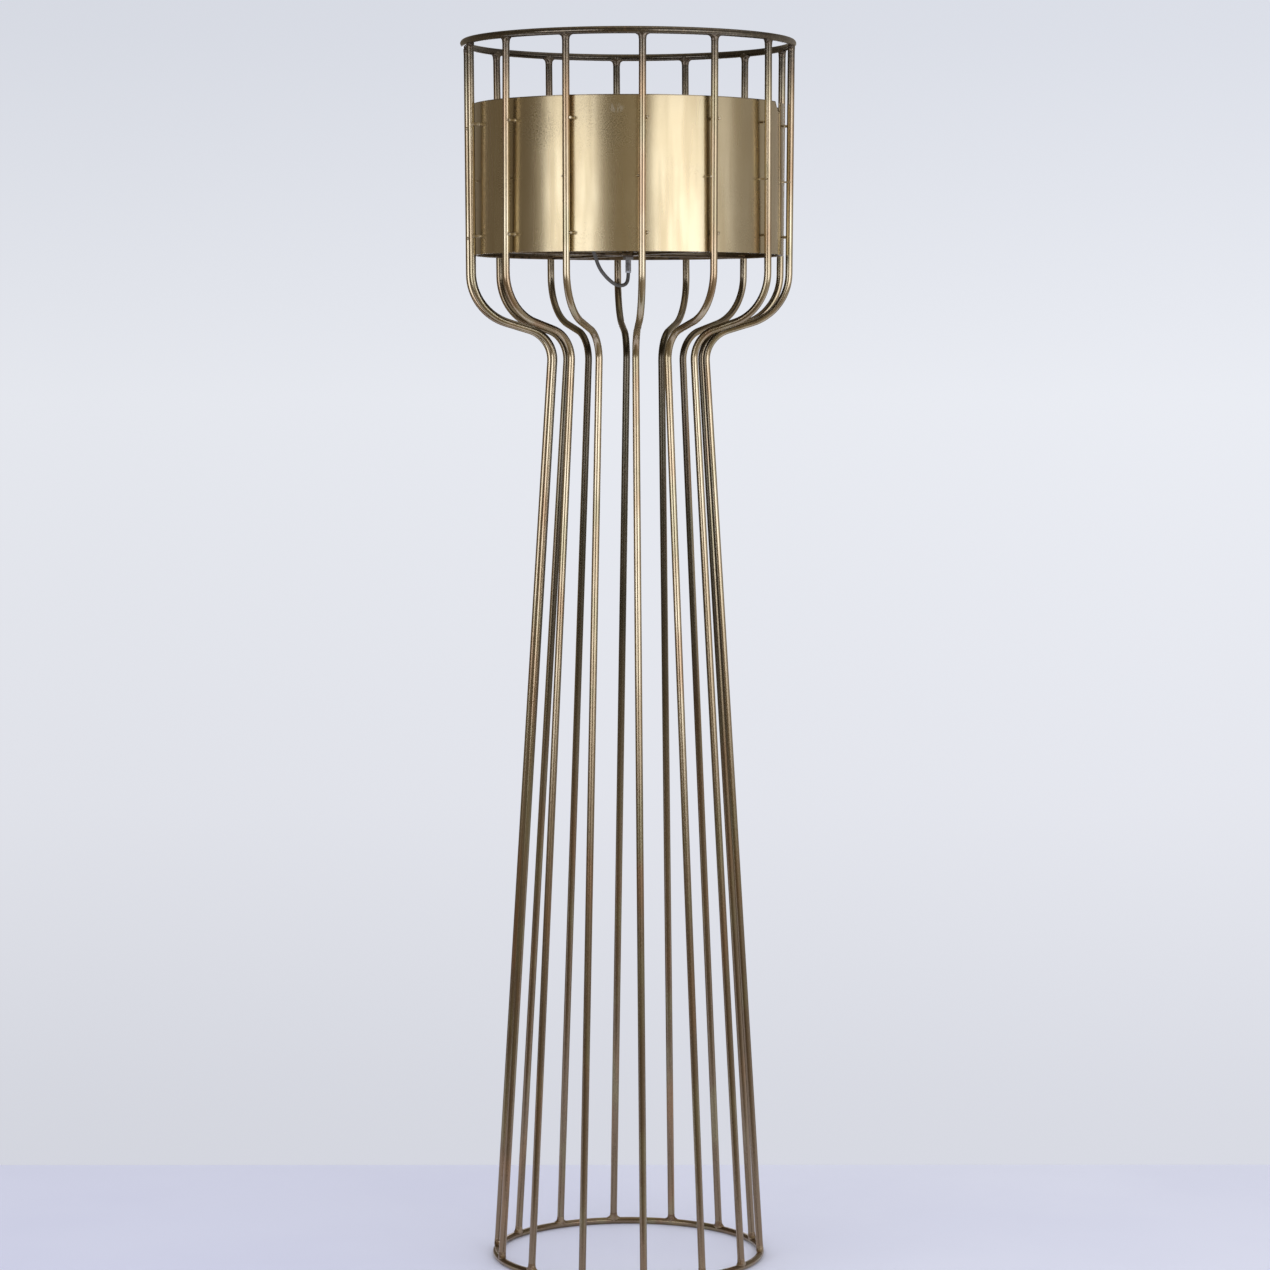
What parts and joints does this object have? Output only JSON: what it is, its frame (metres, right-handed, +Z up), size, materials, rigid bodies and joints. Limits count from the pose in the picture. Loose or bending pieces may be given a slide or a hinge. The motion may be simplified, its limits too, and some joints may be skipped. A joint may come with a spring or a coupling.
{
  "type": "wire cage floor lamp",
  "caption": "Floor lamp: a waisted cage of bent brass wire rods between rings carries an open sheet brass drum shade over a screw lampholder and bulb.",
  "frame": {"origin": "on the floor at the middle of the base ring", "axes": "+Z up; -Y towards the front, the side that the picture shows; +X to that viewer's right"},
  "size_m": [0.4699, 0.47, 1.72],
  "materials": {
    "aged_brass_wire": "antique brass finish, satin, browned towards the bends",
    "weld_brass": "brazed fillets and pins, slightly rough",
    "shade_brass": "satin antique brass sheet with light patina",
    "dark_bronze": "dark bronze",
    "zinc_steel": "dull zinc plate",
    "fibre": "pressed fibre",
    "lampholder_brass": "bright brass",
    "black_plastic": "black moulding",
    "grey_plastic": "grey moulding",
    "copper": "tinned copper wire",
    "lead_sheath": "dark grey-brown sheath",
    "tie_strap": "black hook and loop strap",
    "bulb_glass": "clear glass",
    "bulb_metal": "plain",
    "bulb_insulator": "black glass insulator",
    "filament": "coated filament sticks on a glass stem"
  },
  "bodies": {
    "lamp": {"rod_01": "aged_brass_wire", "rod_02": "aged_brass_wire", "rod_03": "aged_brass_wire", "rod_04": "aged_brass_wire", "rod_05": "aged_brass_wire", "rod_06": "aged_brass_wire", "rod_07": "aged_brass_wire", "rod_08": "aged_brass_wire", "rod_09": "aged_brass_wire", "rod_10": "aged_brass_wire", "rod_11": "aged_brass_wire", "rod_12": "aged_brass_wire", "rod_13": "aged_brass_wire", "rod_14": "aged_brass_wire", "top_ring": "aged_brass_wire", "base_ring": "aged_brass_wire", "top_ring_welds": "weld_brass", "base_ring_welds": "weld_brass", "spider_arm_welds": "weld_brass", "upper_standoffs": "weld_brass", "middle_standoffs": "weld_brass", "lower_standoffs": "weld_brass", "shade_drum": "shade_brass", "shade_hoop": "dark_bronze", "spider_arms": "dark_bronze", "spider_hub": "dark_bronze", "threaded_nipple": "zinc_steel", "lower_locknut": "zinc_steel", "upper_washer": "zinc_steel", "earth_screw": "zinc_steel", "lampholder_terminal_screws": "zinc_steel", "lower_washer": "fibre", "lampholder_liner": "fibre", "lampholder_cap": "lampholder_brass", "lampholder_shell": "lampholder_brass", "lampholder_screw_shell": "lampholder_brass", "lampholder_centre_contact": "lampholder_brass", "plug_pins": "lampholder_brass", "lampholder_core": "black_plastic", "cord_bushing": "grey_plastic", "earth_wire": "copper", "lead_cores": "copper", "lead_free": "lead_sheath", "lead_coil": "lead_sheath", "lead_tail": "lead_sheath", "lead_in_nipple": "lead_sheath", "lead_in_plug": "lead_sheath", "plug_body": "lead_sheath", "plug_relief": "lead_sheath", "coil_tie": "tie_strap"},
    "knob": {"switch_spindle": "zinc_steel", "switch_knob": "black_plastic"},
    "bulb": {"bulb_glass": "bulb_glass", "bulb_screw_cap": "bulb_metal", "bulb_contact": "bulb_metal", "bulb_insulator": "bulb_insulator", "bulb_filaments": "filament"}
  },
  "joints": [
    {"name": "switch_turn", "type": "hinge", "parent": "lamp", "child": "knob", "pos_m": [0.02255, -0.00821, 1.449], "axis": [0.9397, -0.342, 0], "continuous": true},
    {"name": "bulb_lift", "type": "slide", "parent": "lamp", "child": "bulb", "axis": [0, 0, 1], "range_m": [0, 0.3]}
  ]
}
